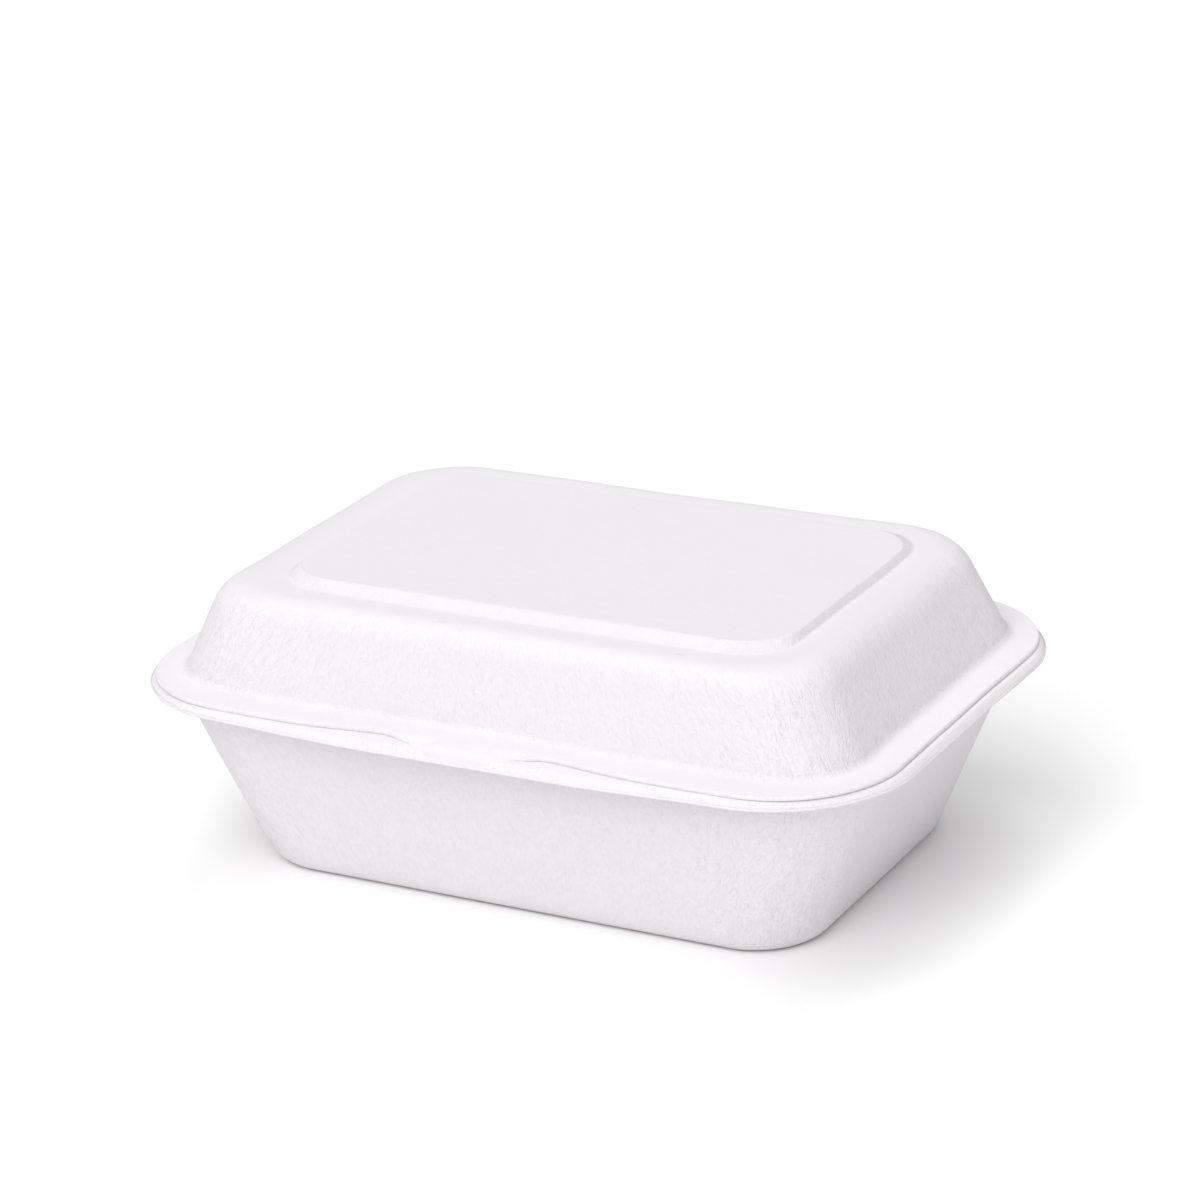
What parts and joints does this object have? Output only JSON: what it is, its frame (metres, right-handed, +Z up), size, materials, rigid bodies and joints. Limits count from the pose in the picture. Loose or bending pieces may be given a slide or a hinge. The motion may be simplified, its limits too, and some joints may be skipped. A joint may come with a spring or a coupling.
{
  "type": "bagasse clamshell box",
  "caption": "Hinged takeaway box of moulded sugarcane pulp: a deep tray and a shallow lid with a raised panel, joined by a web on one long side.",
  "frame": {"origin": "middle of the tray's flat bottom, on the surface that the box stands on", "axes": "+Z up; X along the hinge side, the longest side; the hinge is at -Y, so the lid opens towards -Y"},
  "size_m": [0.18, 0.126, 0.0676],
  "materials": {
    "moulded_bagasse": "matte"
  },
  "bodies": {
    "tray": {"tray": "moulded_bagasse"},
    "lid": {"lid": "moulded_bagasse"}
  },
  "joints": [
    {"name": "lid_hinge", "type": "hinge", "parent": "tray", "child": "lid", "pos_m": [0, -0.064, 0.04435], "axis": [1, 0, 0], "range_deg": [0, 180]}
  ]
}
